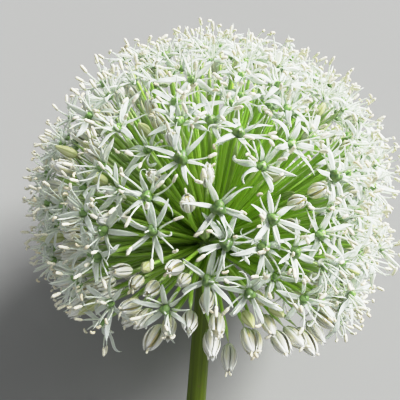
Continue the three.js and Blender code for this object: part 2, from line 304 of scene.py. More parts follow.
def tube_faces(count, stations, sides):
    """Vertex numbers of closed tubes: each has a first pole, rings of points, and a last pole."""
    size = stations * sides + 2
    ring = 1 + sides * np.arange(stations)[:, None]
    here = np.arange(sides)[None, :]
    after = (here + 1) % sides
    lower, upper = ring[:-1], ring[1:]
    quads = np.stack([lower + here, lower + after, upper + after, upper + here], -1).reshape(-1, 4)
    zero = np.zeros(sides, int)
    first = np.stack([zero, 1 + after[0], 1 + here[0]], -1)
    last = np.stack([zero + size - 1, ring[-1] + here[0], ring[-1] + after[0]], -1)
    start = (np.arange(count) * size)[:, None, None]
    return (start + quads).reshape(-1, 4), (start + np.concatenate([first, last])).reshape(-1, 3)


def tubes(rings, first, last, wave, along, shade):
    """Closes rings of points (tube, step, side) with a pole at each end. The UV map holds a wave
    round a ring, from -1 to 1, as U from 0 to 1, and the way along the tube as V."""
    count, stations, sides = rings.shape[:3]
    points = np.concatenate([first[:, None], rings.reshape(count, -1, 3), last[:, None]], axis=1)
    uv = np.empty((count, stations * sides + 2, 2))
    uv[:, 0] = (0.5, 0)
    uv[:, -1] = (0.5, 1)
    uv[:, 1:-1, 0] = np.tile(0.5 + 0.5 * wave, stations)
    uv[:, 1:-1, 1] = np.repeat(along, sides)
    quads, triangles = tube_faces(count, stations, sides)
    shades = np.repeat(shade, stations * sides + 2)
    return Surface(points.reshape(-1, 3), quads, triangles, uv.reshape(-1, 2), shades)


def joined(first, second):
    """Two surfaces as one, with the vertex numbers of the second moved on."""
    start = len(first.points)
    second = second._replace(quads=second.quads + start, triangles=second.triangles + start)
    return Surface(*(np.concatenate(pair) for pair in zip(first, second)))


def leaning_path(step, start, axis, outward, length, lean, sway=np.zeros((1, 1))):
    """Paths whose direction leans from an axis towards outward by lean, turned round the axis by
    sway, and whose points are its running sum. Returns the points, the direction, the vector to
    the side and the one out of the upper face."""
    axis, outward = axis[:, None], outward[:, None]
    beside = np.cross(axis, outward)
    lean, sway = lean[..., None], sway[..., None]
    level = outward * np.cos(sway) + beside * np.sin(sway)
    direction = level * np.sin(lean) + axis * np.cos(lean)
    side = beside * np.cos(sway) - outward * np.sin(sway)
    middles = (direction[:, 1:] + direction[:, :-1]) / 2 * np.diff(step)[:, None]
    moved = np.concatenate([np.zeros_like(direction[:, :1]), np.cumsum(middles, axis=1)], axis=1)
    return start[:, None] + length[:, None, None] * moved, direction, side, np.cross(direction, side)


def swept(step, path, side, up, half_width, half_thickness, sides, shade, channel=0.0, twist=None):
    """A flat profile carried along paths: side * w cos(q) + up * (t sin(q) + c w cos(q)^2) for q
    round the profile, where c lifts both edges into a channel. The path's ends become poles."""
    if twist is not None:
        cosine, sine = np.cos(twist)[..., None], np.sin(twist)[..., None]
        side, up = side * cosine + up * sine, up * cosine - side * sine
    turn = around(sides)
    wide = half_width[..., None] * np.cos(turn)
    lift = half_thickness[..., None] * np.sin(turn) + channel * half_width[..., None] * np.cos(turn) ** 2
    rings = path[:, :, None] + side[:, :, None] * wide[..., None] + up[:, :, None] * lift[..., None]
    return tubes(rings[:, 1:-1], path[:, 0], path[:, -1], np.cos(turn), step[1:-1], shade)


def turned(base, axis, across, radii, heights, lobes, depth, sides, shade):
    """Round bodies: rings of given radii and heights along an axis, times 1 + depth * cos(lobes * q)
    for q round the ring."""
    turn = around(sides)
    beside = np.cross(axis, across)
    circle = across[:, None] * np.cos(turn)[:, None] + beside[:, None] * np.sin(turn)[:, None]
    wave = np.cos(lobes * turn)
    circle = circle * (1 + depth * wave)[:, None]
    rings = base[:, None, None] + heights[:, 1:-1, None, None] * axis[:, None, None]
    rings = rings + radii[:, 1:-1, None, None] * circle[:, None]
    first = base + heights[:, :1] * axis
    last = base + heights[:, -1:] * axis
    return tubes(rings, first, last, wave, np.linspace(0, 1, heights.shape[1])[1:-1], shade)


def turned_heads(heads, rng, radii, heights, lobes, depth, shade):
    """One round body on each head, at a random turn."""
    return turned(heads.foot, heads.axis, sideways(heads.axis, rng), radii, heights, lobes, depth, 12, shade)


# ---- Where the heads stand ----

def camera_axes():
    """Right, up and forward of the camera, which looks squarely at the stem's side, turned a little
    so that the globe's centre falls on its own pixel."""
    up = math.cos(CAMERA_ROLL) * STEMWARD - math.sin(CAMERA_ROLL) * SIDE
    right = np.cross(-FACING, up)
    aside = (GLOBE_PIXEL[0] - PHOTO_SIDE / 2) / FOCAL_PIXELS
    below = (GLOBE_PIXEL[1] - PHOTO_SIDE / 2) / FOCAL_PIXELS
    forward = unit(-FACING - aside * right + below * up)
    right = unit(np.cross(forward, up))
    return right, np.cross(right, forward), forward


def seen_on_globe(pixels, radius):
    """Where the camera's ray through each pixel first meets a sphere round the globe's centre."""
    right, up, forward = camera_axes()
    offset = (np.array(pixels, float) - PHOTO_SIDE / 2) / FOCAL_PIXELS
    rays = unit(forward + offset[:, :1] * right - offset[:, 1:2] * up)
    away = CAMERA_PLACE - GLOBE_CENTRE
    half = rays @ away
    inside = np.maximum(half ** 2 - away @ away + radius ** 2, 0)
    return CAMERA_PLACE + (-half - np.sqrt(inside))[:, None] * rays


def spiral_on_globe(count, rng):
    """Directions down the globe at the golden angle, each moved a little at random. The steps of
    height shrink from the top to the rim round the stem, where heads are the most crowded."""
    number = np.arange(count)
    step = (number + 0.5) / count
    fallen = step + 0.55 * step * (1 - step) ** 2 + 0.35 * step ** 3 * (1 - step)
    height = 1 - fallen * (1 - math.cos(OPEN_FROM))
    turn = number * math.pi * (3 - math.sqrt(5))
    ring = np.sqrt(1 - height ** 2)
    level = (ring * np.cos(turn))[:, None] * SIDE - (ring * np.sin(turn))[:, None] * FACING
    outward = level + height[:, None] * STEMWARD
    stray = 0.035
    return unit(outward + rng.uniform(-stray, stray, outward.shape))


def place_heads(sizes):
    """All florets and buds: the placed ones, and the spiral's wherever no placed one is near."""
    rng = np.random.default_rng(sizes.seed)
    middles = np.concatenate([seen_on_globe(pixels, GLOBE_RADIUS - depth) for pixels, _, depth in PLACED])
    kinds = np.concatenate([np.full(len(pixels), kind) for pixels, kind, _ in PLACED])
    placed = len(middles)

    outward = spiral_on_globe(sizes.head_count, rng)
    depth = rng.uniform(*SPREAD_DEPTHS, (len(outward), 1))
    spread = GLOBE_CENTRE + outward * (GLOBE_RADIUS - depth)
    nearest = np.min(np.linalg.norm(spread[:, None] - middles[None], axis=-1), axis=1)
    in_front = outward @ FACING > math.cos(FRONT_ANGLE)
    kept = nearest > np.where(in_front, FRONT_CLEARANCE, CLEARANCE)
    spread_kinds = rng.choice(len(KIND_SHARES), len(outward), p=KIND_SHARES)
    low = (outward @ STEMWARD < -0.2) & (rng.random(len(outward)) < LOW_BUD_SHARE)
    left = (outward @ SIDE < -0.25) & (rng.random(len(outward)) < LEFT_BUD_SHARE)
    spread_kinds[(low | left) & (spread_kinds == OPEN)] = LANTERN
    spread_kinds[in_front] = YOUNG
    middles = np.concatenate([middles, spread[kept]])
    kinds = np.concatenate([kinds, spread_kinds[kept]])

    count = len(kinds)
    reach = np.where(kinds == YOUNG, rng.uniform(*YOUNG_REACH, count), 1.0)
    spread_bud = ((kinds == BUD) | (kinds == LANTERN)) & (np.arange(count) >= placed)
    reach = np.where(spread_bud, rng.uniform(*BUD_REACH, count), reach)
    stalk = (middles - RECEPTACLE) * reach[:, None]
    direction = unit(stalk)
    foot_to_middle = np.where(kinds == OPEN, 1.4 * MM, 3.5 * MM)
    foot = RECEPTACLE + stalk - direction * foot_to_middle[:, None]
    away = unit(RECEPTACLE + stalk - GLOBE_CENTRE)
    nod = rng.normal(0, 0.13, foot.shape)
    tipped = placed - len(TIPPED_LANTERNS + FRONT_YOUNG_BUDS)
    nod[tipped:placed] = 0.55 * STEMWARD
    axis = unit(0.6 * direction + 0.4 * away + nod)

    start = sideways(axis, rng)
    right, up, forward = camera_axes()
    turned_by = np.radians([degrees for _, _, degrees, _ in FRONT_STARS])[:, None]
    pointed = np.cos(turned_by) * right - np.sin(turned_by) * up
    star_axis = axis[:len(FRONT_STARS)]
    lengthwise = np.sum(pointed * star_axis, axis=-1, keepdims=True)
    start[:len(FRONT_STARS)] = unit(pointed - lengthwise * star_axis)
    turn = np.arctan2(-(stalk @ FACING), stalk @ SIDE)
    third = (np.floor(((turn - FIRST_SEAM) % TAU) / (TAU / 3))).astype(int) % 3
    widths = np.array([pixels[-1] for pixels in FRONT_STARS + FRONT_OVARIES])
    distance = (middles[:len(widths)] - CAMERA_PLACE) @ forward
    grown = rng.uniform(0.5, 0.72, count)
    grown[:len(widths)] = widths / 2 * distance / FOCAL_PIXELS / sizes.ovary_radius
    return Heads(foot, axis, start, kinds, third, grown, rng.uniform(0, 1, count))


def ripeness(heads):
    """How near each ovary is to its full size, from 0 to 1."""
    return smooth((heads.grown - 0.6) / 0.35)


def around_heads(heads, first_turn, rng, waver=0.1):
    """Six places round each head: its number, its axis and the outward direction of each place."""
    head = np.repeat(np.arange(len(heads.foot)), 6)
    turn = np.tile(np.arange(6) * math.pi / 3, len(heads.foot)) + first_turn
    turn = (turn + rng.normal(0, waver, len(turn)))[:, None]
    axis, start = heads.axis[head], heads.start[head]
    return head, axis, start * np.cos(turn) + np.cross(axis, start) * np.sin(turn)


# ---- Parts of the flower ----

def tepal_surface(heads, sizes, rng):
    """Six blades to a floret. A blade leaves the ovary steeply, bends to lie nearly square to the
    axis, twists, and curls towards its tip, often into a hook. Its width is (1 - s)^0.85 times a
    straight line in s, so it is widest before its middle, and it is a shallow channel."""
    head, axis, outward = around_heads(heads, 0.0, rng)
    count = len(head)
    step = 1 - (1 - np.linspace(0, 1, 12)) ** 1.45
    first_lean = rng.uniform(0.6, 1.0, (count, 1))
    main_lean = rng.normal(1.38, 0.2, (count, 1))
    hooked = rng.random((count, 1)) < 0.45
    curl = np.where(hooked, rng.uniform(1.5, 4.0, (count, 1)), rng.uniform(-0.5, 0.9, (count, 1)))
    bend = rng.normal(0.15, 0.4, (count, 1))
    turn = rng.normal(0, 0.85, (count, 1))
    curled = curl * np.clip((step - 0.64) / 0.36, 0, 1) ** 1.3 + bend * step ** 2
    wave = 0.14 * np.sin(7 * step + rng.uniform(0, TAU, (count, 1)))
    lean = first_lean + (main_lean - first_lean) * smooth(step / 0.35) + curled * np.cos(turn) + wave
    sway = rng.normal(0, 0.1, (count, 1)) * step + curled * np.sin(turn)
    length = sizes.tepal_length * rng.uniform(0.84, 1.12, count)
    start = heads.foot[head] + 0.9 * MM * outward + 0.4 * MM * axis
    path, _, side, up = leaning_path(step, start, axis, outward, length, lean, sway)
    outline = (1 - step) ** 0.85 * (0.58 + 2.05 * step)
    narrowed = 1 - 0.16 * ripeness(heads)[head][:, None]
    width = sizes.tepal_width / 2 * narrowed * rng.uniform(0.82, 1.16, (count, 1)) * outline
    thickness = 0.12 * MM * (0.5 + 0.5 * outline)
    twist = turn * smooth(step / 0.75)
    return swept(step, path, side, up, width, thickness, 6, heads.shade[head], channel=0.32, twist=twist)


def filament_paths(heads, sizes, rng):
    """Six filaments to a floret, on paths that lean out by about 40 degrees, or more round a grown
    ovary, and straighten or droop with the square of s."""
    head, axis, outward = around_heads(heads, math.pi / 12, rng, 0.3)
    count = len(head)
    step = np.linspace(0, 1, 8)
    spread = 0.68 + 0.5 * ripeness(heads)[head][:, None]
    lean = spread + rng.normal(0, 0.2, (count, 1)) + rng.normal(-0.05, 0.45, (count, 1)) * step ** 2
    sway = rng.normal(0, 0.35, (count, 1)) * step
    length = sizes.filament_length * rng.uniform(0.8, 1.15, count)
    start = heads.foot[head] + 1.2 * MM * outward + 0.6 * MM * axis
    return head, step, leaning_path(step, start, axis, outward, length, lean, sway)


def filament_surface(heads, sizes, _):
    """Filaments, wide at the ovary and drawn out to a thread, and a short style on each ovary.
    They have draws of their own, which the anthers repeat to find the same paths."""
    rng = np.random.default_rng(FILAMENT_SEED)
    head, step, (path, _, side, up) = filament_paths(heads, sizes, rng)
    width = MM * (0.21 + 0.24 * (1 - step) ** 3)
    thickness = MM * (0.18 + 0.06 * (1 - step) ** 2)
    threads = swept(step, path, side, up, width, thickness, 5, heads.shade[head])
    count = len(heads.foot)
    step = np.linspace(0, 1, 5)
    across = sideways(heads.axis, rng)
    lean = rng.uniform(0.2, 1.15, (count, 1)) * np.ones(5)
    start = heads.foot + (1.7 * sizes.ovary_radius) * heads.grown[:, None] * heads.axis
    length = rng.uniform(1.4, 2.2, count) * MM
    path, _, side, up = leaning_path(step, start, heads.axis, across, length, lean)
    radius = 0.24 * MM * np.array([1, 1, 0.85, 1.1, 1])
    styles = swept(step, path, side, up, radius, radius, 5, heads.shade)
    return joined(threads, styles)


def anther_surface(heads, sizes, rng):
    """A rod on the end of most filaments. Closed ones nearly follow the filament, and spent ones
    lie across it, short and arched. More have fallen off where the ovary is grown."""
    filament_rng = np.random.default_rng(FILAMENT_SEED)
    head, _, (path, direction, side, up) = filament_paths(heads, sizes, filament_rng)
    count = len(head)
    spent = rng.random(count) < 0.42
    size = np.where(spent, rng.uniform(0.65, 0.85, count), rng.uniform(0.85, 1.15, count))
    length = sizes.anther_length * size
    step = np.linspace(0, 1, 7)
    tilt = np.where(spent, rng.normal(1.4, 0.3, count), np.abs(rng.normal(0, 0.4, count)))[:, None]
    bow = np.where(spent, rng.uniform(1.6, 3.0, count), rng.uniform(-0.4, 0.5, count))[:, None]
    along, beside = direction[:, -1], side[:, -1]
    turn = rng.uniform(0, TAU, (count, 1))
    outward = beside * np.cos(turn) + up[:, -1] * np.sin(turn)
    lean = tilt + bow * (step - 0.5)
    middle = along * np.cos(tilt) + outward * np.sin(tilt)
    held = np.where(spent, 0.45, 0.25) * length
    start = path[:, -1] - middle * held[:, None]
    path, _, side, up = leaning_path(step, start, along, outward, length, lean)
    outline = np.array([0.5, 0.88, 1.0, 0.96, 1.0, 0.9, 0.5])
    radius = np.where(spent, 0.43, 0.52)[:, None] * MM * outline * rng.uniform(0.9, 1.1, (count, 1))
    tone = np.where(spent, rng.uniform(0.4, 1, count), rng.uniform(0, 0.5, count))
    on = rng.random(count) < 0.78 - 0.24 * ripeness(heads)[head]
    return swept(step, path[on], side[on], up[on], radius[on], 0.85 * radius[on], 6, tone[on])


def ovary_surface(heads, sizes, rng):
    """A round ovary with three faint lobes and a dimple under its style. Its shade is its growth."""
    angle = np.linspace(0, math.pi, 9)
    size = sizes.ovary_radius * heads.grown[:, None]
    radii = size * np.sin(angle) ** 0.85
    heights = size * (0.95 - np.cos(angle) - 0.12 * np.exp(-((angle - math.pi) / 0.4) ** 2))
    return turned_heads(heads, rng, radii, heights, 3, 0.16, heads.grown)


def pedicel_surface(heads, sizes, rng):
    """Stalks from the receptacle to every head: lines with a slight bow, s (1 - s), stouter at the root
    and under the head. The shade value is lowered for stalks on the left and low side, a painted shadow that
    draws them darker."""
    count = len(heads.foot)
    step = np.linspace(0, 1, 9)
    share = step[None, :, None]
    direction = unit(heads.foot - RECEPTACLE)
    start = RECEPTACLE + direction * 0.75 * RECEPTACLE_RADIUS
    across = sideways(direction, rng)
    bow = rng.normal(0, 1.3 * MM, (count, 1, 1))
    end = heads.foot + 0.5 * MM * heads.axis
    path = start[:, None] + (end - start)[:, None] * share + across[:, None] * bow * 4 * share * (1 - share)
    up = np.cross(direction, across)
    swell = 1 + 0.25 * (1 - step) ** 4 + 0.75 * np.clip((step - 0.86) / 0.14, 0, 1) ** 2
    radius = sizes.pedicel_radius * rng.uniform(0.88, 1.15, (count, 1)) * swell
    # Painted shadow: stalks that point left and down get a lower shade value, so they are drawn darker, as if
    # shaded by the florets above them.
    towards_painted_shadow = direction @ (-0.9 * SIDE - 0.4 * STEMWARD)
    shade = heads.shade * (1 - 0.65 * smooth((towards_painted_shadow + 0.1) / 0.7))
    return swept(step, path, across[:, None], up[:, None], radius, radius, 6, shade)


def bud_surface(heads, sizes, rng):
    """Closed buds: egg-shaped, drawn out to a blunt tip, with six low ribs. Young ones are smaller."""
    step = np.linspace(0, 1, 10)[None]
    scale = np.where(heads.kind == YOUNG, YOUNG_BUD_SCALE, 1.0)[:, None]
    size = scale * rng.uniform(0.86, 1.08, (len(heads.foot), 1))
    outline = np.sin(math.pi * step ** 0.8) ** 0.8 * (1.06 - 0.2 * step)
    radii = sizes.bud_radius * size * outline
    heights = sizes.bud_length * size * step
    return turned_heads(heads, rng, radii, heights, 6, 0.06, heads.shade)


def low_growth(heads):
    """The size of each opening bud: 1 on the upper globe, and up to a quarter more round the stem."""
    lowness = (GLOBE_CENTRE - heads.foot) @ STEMWARD / GLOBE_RADIUS
    return 1 + 0.25 * smooth((lowness - 0.25) / 0.3)


def lantern_surface(heads, sizes, rng):
    """Opening buds: six blades lean out at the foot and in at the tip, in even steps, with slits
    between them, and the tips of some flare like a small crown."""
    head, axis, outward = around_heads(heads, 0.0, rng, 0.05)
    count, buds = len(head), len(heads.foot)
    step = np.linspace(0, 1, 12)
    growth = low_growth(heads)[head]
    openness = rng.uniform(0.88, 1.1, (buds, 1))[head]
    flare = np.where(rng.random((buds, 1)) < 0.5, rng.uniform(0.6, 1.7, (buds, 1)), 0.0)[head]
    lean = openness * (0.8 - 1.62 * step) + flare * np.clip((step - 0.84) / 0.16, 0, 1)
    lean = lean + rng.normal(0, 0.05, (count, 1))
    length = sizes.bud_length * rng.uniform(0.9, 1.12, buds)[head] * growth
    start = heads.foot[head] + 0.35 * MM * outward
    path, _, side, up = leaning_path(step, start, axis, outward, length, lean)
    outline = np.sin(math.pi * (0.08 + 0.86 * step)) ** 0.75
    width = 0.85 * MM * rng.uniform(0.88, 1.08, (count, 1)) * outline * growth[:, None]
    thickness = 0.16 * MM * (0.5 + 0.5 * outline)
    return swept(step, path, side, up, width, thickness, 6, heads.shade[head], channel=0.3)


def core_surface(heads, sizes, rng):
    """The bundle of stamens behind the slits of an opening bud, with six lobes."""
    growth = low_growth(heads)[:, None]
    step = np.linspace(0, 1, 8)[None]
    outline = np.sin(math.pi * step ** 0.8) ** 0.7
    radii = 1.5 * MM * outline * growth
    heights = 0.78 * sizes.bud_length * step * growth
    return turned_heads(heads, rng, radii, heights, 6, 0.12, heads.shade)


def bud_anther_surface(heads, sizes, rng):
    """Small anthers at the tip of an opening bud: about a third of the six lean out of it."""
    head, axis, outward = around_heads(heads, 0.5, rng, 0.4)
    out = rng.random(len(head)) < 0.33
    head, axis, outward = head[out], axis[out], outward[out]
    count = len(head)
    step = np.linspace(0, 1, 6)
    length = rng.uniform(1.5, 2.4, count) * MM
    tip = 0.8 * sizes.bud_length * low_growth(heads)[head][:, None]
    start = heads.foot[head] + tip * axis + 0.35 * MM * outward
    lean = rng.uniform(0.3, 1.3, (count, 1)) + rng.uniform(0, 0.8, (count, 1)) * step
    path, _, side, up = leaning_path(step, start, axis, outward, length, lean)
    radius = 0.4 * MM * np.array([0.5, 0.8, 0.9, 1.0, 0.95, 0.5]) * rng.uniform(0.85, 1.15, (count, 1))
    return swept(step, path, side, up, radius, 0.85 * radius, 6, rng.uniform(0.2, 1, count))


def stem_surface(rng):
    """The cut stem: a round profile with low ridges along it, wider at the cut end and flared at
    the top. Its radius eases between the solids' own radii."""
    stations, sides = 60, 40
    bevel_end = STEM_LENGTH - STEM_END_BEVEL
    depth = np.concatenate([[STEM_LENGTH, STEM_LENGTH],
                            np.linspace(bevel_end, STEM_TOP_DEPTH, stations - 3), [STEM_TOP_DEPTH]])
    below_top = depth - STEM_TOP_DEPTH
    flare = 1 - smooth(below_top / STEM_WAIST_DEPTH)
    taper = np.clip((below_top - STEM_WAIST_DEPTH) / (STEM_LENGTH - STEM_WAIST_DEPTH), 0, 1)
    radius = (STEM_WAIST_RADIUS + (STEM_TOP_RADIUS - STEM_WAIST_RADIUS) * flare ** 2
              + (STEM_END_RADIUS - STEM_WAIST_RADIUS) * taper)
    radius[1] -= STEM_END_BEVEL / 2
    radius[0] = 0.55 * radius[1]
    turn = around(sides)
    ridges = 1 + 0.006 * np.cos(11 * turn + 0.7) + 0.008 * np.cos(7 * turn)
    circle = np.cos(turn)[:, None] * SIDE + np.sin(turn)[:, None] * np.cross(STEMWARD, SIDE)
    centres = RECEPTACLE - depth[:, None] * STEMWARD
    rings = centres[:, None] + (radius[:, None] * ridges)[..., None] * circle
    along = np.linspace(0, 1, stations)
    return tubes(rings[None], centres[None, 0], centres[None, -1], np.cos(turn), along, rng.uniform(0, 1, 1))


def knob_surface(rng):
    """The receptacle: a round knob, flat below, with nine low lobes. The stalks hide it."""
    share = 0.94  # of the solids' radius, so that it stays inside them
    angle = np.linspace(0, math.pi, 26)
    heights = np.maximum(-np.cos(angle) * share * RECEPTACLE_RADIUS, -STEM_TOP_DEPTH + 0.35 * MM)
    radii = np.sin(angle) * share * RECEPTACLE_RADIUS
    return turned(RECEPTACLE[None], STEMWARD[None], SIDE[None], radii[None], heights[None], 9, 0.02, 36,
                  rng.uniform(0, 1, 1))


# ---- Blender meshes ----

def make_piece(name, surface, material, nodes):
    """Puts a surface into a smooth mesh that rides on the root and stands in for the nodes."""
    mesh = bpy.data.meshes.new(name)
    faces = surface.quads.tolist() + surface.triangles.tolist()
    mesh.from_pydata(pressed(surface.points), [], faces, shade_flat=False)
    corners = np.concatenate([surface.quads.ravel(), surface.triangles.ravel()])
    layer = mesh.uv_layers.new(name="UVMap")
    layer.data.foreach_set("uv", surface.uv[corners].astype(np.float32).ravel())
    attribute = mesh.attributes.new("shade", "FLOAT", "POINT")
    attribute.data.foreach_set("value", surface.shade.astype(np.float32))
    mesh.validate()
    mesh.materials.append(material)
    piece = bpy.data.objects.new(name, mesh)
    bpy.context.scene.collection.objects.link(piece)
    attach(piece, "root")
    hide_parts(*nodes)


# ---- Materials ----

class Look:
    """A material painted in coats. A share of light, scatter, spreads in the tissue, as far as depth."""

    def __init__(self, name, roughness, colour, gloss=0.5, scatter=0.0, depth=0.001):
        self.material = bpy.data.materials.new(name)
        self.material.use_nodes = True
        self.tree = self.material.node_tree
        self.inputs = self.tree.nodes["Principled BSDF"].inputs
        self.tone = colour
        for socket, value in (
            ("Roughness", roughness), ("Specular IOR Level", gloss), ("Subsurface Weight", scatter),
            ("Subsurface Scale", depth), ("Subsurface Radius", TISSUE_RADIUS),
        ):
            self.inputs[socket].default_value = value

    def feed(self, target, value):
        """Links a socket to a target, or sets the target to a constant."""
        if isinstance(value, bpy.types.NodeSocket):
            self.tree.links.new(value, target)
        else:
            target.default_value = (*value, 1.0) if target.type == "RGBA" else value

    def node(self, kind, settings=None, **inputs):
        """A node of a kind, with settings and with its inputs fed by name."""
        made = self.tree.nodes.new(kind)
        for setting, value in (settings or {}).items():
            setattr(made, setting, value)
        for socket, value in inputs.items():
            self.feed(made.inputs[socket.replace("_", " ")], value)
        return made

    def maths(self, operation, *values):
        """A Math node of one or two values."""
        made = self.node("ShaderNodeMath", {"operation": operation})
        for target, value in zip(made.inputs, values):
            self.feed(target, value)
        return made.outputs[0]

    def mixed(self, share, first, second):
        """A colour between two colours, by a share."""
        made = self.node("ShaderNodeMix", {"data_type": "RGBA"})
        for number, value in ((0, share), (6, first), (7, second)):
            self.feed(made.inputs[number], value)
        return made.outputs[2]

    def ramp(self, value, low, high, top=1.0):
        """0 at low and beyond it, top at high and beyond it, smooth between them."""
        made = self.node("ShaderNodeMapRange", {"interpolation_type": "SMOOTHSTEP"}, Value=value,
                         From_Min=low, From_Max=high, To_Max=top)
        return made.outputs[0]

    def add(self, colour, share):
        """Mixes a share of a colour into the tone."""
        self.tone = self.mixed(share, self.tone, colour)
        self.feed(self.inputs["Base Color"], self.tone)

    def coat(self, colour, value, low, high, top=1.0):
        """Mixes in a colour: nothing where a value is low, and a share of top where it is high."""
        self.add(colour, self.ramp(value, low, high, top))

    def raised(self, height, strength, distance):
        """Raises the surface by a height value, and gives the material."""
        bump = self.node("ShaderNodeBump", Height=height, Strength=strength, Distance=distance)
        self.feed(self.inputs["Normal"], bump.outputs[0])
        return self.material

    def uv(self):
        """The U and V sockets of the piece's own map."""
        made = self.node("ShaderNodeSeparateXYZ", Vector=self.node("ShaderNodeUVMap").outputs[0])
        return made.outputs[0], made.outputs[1]

    def blade(self):
        """How far a point is from its blade's middle line, and how far along the blade."""
        across, along = self.uv()
        return self.maths("ABSOLUTE", self.maths("SUBTRACT", across, 0.5)), along

    def shade(self):
        """The value that differs from floret to floret."""
        return self.node("ShaderNodeAttribute", {"attribute_name": "shade"}).outputs["Fac"]

    def noise(self, place, scale, detail):
        """Noise in the given coordinates."""
        return self.node("ShaderNodeTexNoise", Vector=place, Scale=scale, Detail=detail).outputs["Fac"]

    def streaks(self, wide, long):
        """Noise stretched along V, in the piece's own map."""
        place = self.node("ShaderNodeUVMap").outputs[0]
        stretched = self.node("ShaderNodeMapping", Vector=place, Scale=(wide, long, 1.0))
        return self.noise(stretched.outputs[0], 1.0, 3.0)

    def grain(self, scale, detail=4.0):
        """Noise in the object's own coordinates."""
        return self.noise(self.node("ShaderNodeTexCoord").outputs["Object"], scale, detail)


def scaled(colour, factor):
    """A colour times a factor."""
    return tuple(value * factor for value in colour)


def tepal_look(colours):
    """Thin white tissue: bright edges, a greyer middle, a green line, long veins and a green base."""
    middle_tone = colours.tepal_middle
    look = Look("tepal_tissue", 0.5, scaled(middle_tone, 0.88), gloss=0.35, scatter=0.6, depth=0.002)
    middle, along = look.blade()
    veins = look.streaks(11.0, 0.8)
    look.coat(scaled(middle_tone, 1.15), veins, 0.35, 0.65)
    look.coat(colours.tepal, middle, 0.2, 0.38)
    look.coat(TEPAL_LINE, middle, 0.07, 0.0, 0.45)
    look.coat(TEPAL_BASE, along, 0.12, 0.0)
    return look.raised(veins, 0.25, 0.0002)


def filament_look(colours):
    """White threads with a green foot."""
    look = Look("filament_tissue", 0.42, colours.filament, scatter=0.3)
    look.coat(FILAMENT_FOOT, look.uv()[1], 0.4, 0.0)
    return look.raised(look.streaks(4.0, 6.0), 0.15, 0.0001)


def anther_look(name, colours):
    """Cream anthers, from nearly white to tan, with a mealy skin."""
    look = Look(name, 0.7, FRESH_ANTHER, scatter=0.15, depth=0.0008)
    meal = look.grain(2500.0)
    look.coat(colours.anther, look.shade(), 0.45, 1.0)
    look.coat(scaled(colours.anther, 0.72), meal, 0.5, 0.3)
    return look.raised(meal, 0.4, 0.0001)


def ovary_look(colours):
    """Mottled ovaries with a waxy sheen: yellow-green while small, and bluish green once grown. They are
    lighter on their lobes and darker in their grooves, partly their own lines and partly painted light and
    shade."""
    look = Look("ovary_skin", 0.36, YOUNG_OVARY, scatter=0.12)
    across, along = look.uv()
    mottle = look.grain(700.0)
    grown = look.mixed(look.ramp(mottle, 0.42, 0.62), colours.ovary, OVARY_MOTTLE)
    look.coat(YOUNG_OVARY_MOTTLE, mottle, 0.35, 0.65)
    look.coat(grown, look.shade(), 0.6, 0.92)
    # Lighter lobes, partly painted highlight; darker grooves, partly painted shade.
    look.coat(OVARY_LOBE_TONE_AND_LIGHT, across, 0.3, 1.0, 0.3)
    look.coat(OVARY_GROOVE_LINE_AND_SHADE, across, 0.34, 0.0, 0.75)
    look.coat(OVARY_TOP, along, 0.88, 1.0)
    return look.raised(look.grain(2600.0, 2.0), 0.35, 0.0003)


def pedicel_look(colours):
    """Green stalks that differ from each other, paler under the floret. Painted light and shade: the root is
    brighter against the shade deep in the globe, the outer end darker, and the long pale streaks are partly
    painted highlights."""
    green = colours.pedicel
    look = Look("pedicel_skin", 0.3, scaled(green, 0.65), gloss=0.8, scatter=0.15, depth=0.002)
    _, along = look.uv()
    painted_shade_outer = look.mixed(look.shade(), scaled(green, 0.45), scaled(green, 1.25))
    # Painted light: a bright root, by each stalk's shade value.
    look.add(PEDICEL_ROOT_PAINTED_LIGHT, look.shade())
    # Painted shade: the outer end of each stalk is darker.
    look.coat(painted_shade_outer, along, 0.3, 0.8)
    # Pale streaks: partly the stalk's own streaks, partly painted highlights.
    look.coat(PEDICEL_STREAK_AND_HIGHLIGHT, look.streaks(5.0, 1.2), 0.47, 0.72)
    look.coat(PEDICEL_TOP, along, 0.8, 1.0)
    return look.raised(look.streaks(6.0, 3.0), 0.2, 0.0002)


def bud_look(name, body, stripe):
    """Buds with a green line along each rib and a green foot."""
    look = Look(name, 0.48, body, scatter=0.2, depth=0.0012)
    across, along = look.uv()
    vein = look.streaks(3.0, 2.0)
    look.add(stripe, look.maths("MULTIPLY", look.ramp(across, 0.5, 0.85), look.ramp(vein, 0.1, 0.5)))
    look.coat(scaled(stripe, 1.1), along, 0.3, 0.0)
    return look.raised(vein, 0.3, 0.0003)


def lantern_look(colours):
    """Opening buds: cream blades with bright edges, a faint tan middle line and a green foot."""
    look = Look("opening_tepal_tissue", 0.5, colours.bud, scatter=0.3, depth=0.0012)
    middle, along = look.blade()
    look.coat(BUD_CREAM, look.shade(), 0.25, 0.75)
    look.coat(BUD_FOOT, along, 0.28, 0.0)
    look.coat(BUD_EDGE, middle, 0.2, 0.42)
    line = look.maths("MULTIPLY", look.ramp(middle, 0.16, 0.02, 0.4), look.ramp(along, 1.0, 0.55))
    look.add(BUD_LINE, line)
    look.coat(BUD_TIP, along, 0.6, 0.9)
    return look.raised(look.streaks(9.0, 0.8), 0.25, 0.0002)


def core_look():
    """The stamens' bundle in an opening bud: green threads below, ochre anthers above, with painted shade in
    the gaps between them.
    """
    look = Look("bud_core", 0.6, CORE_ANTHERS)
    across, along = look.uv()
    look.coat(PALE_CORE_ANTHERS, look.shade(), 0.3, 0.7)
    look.coat(CORE_THREADS, along, 0.6, 0.35)
    # Painted shade in the grooves between the stamens.
    look.coat(CORE_GAP_SHADE, across, 0.5, 0.1)
    return look.raised(look.grain(1500.0), 0.3, 0.0002)


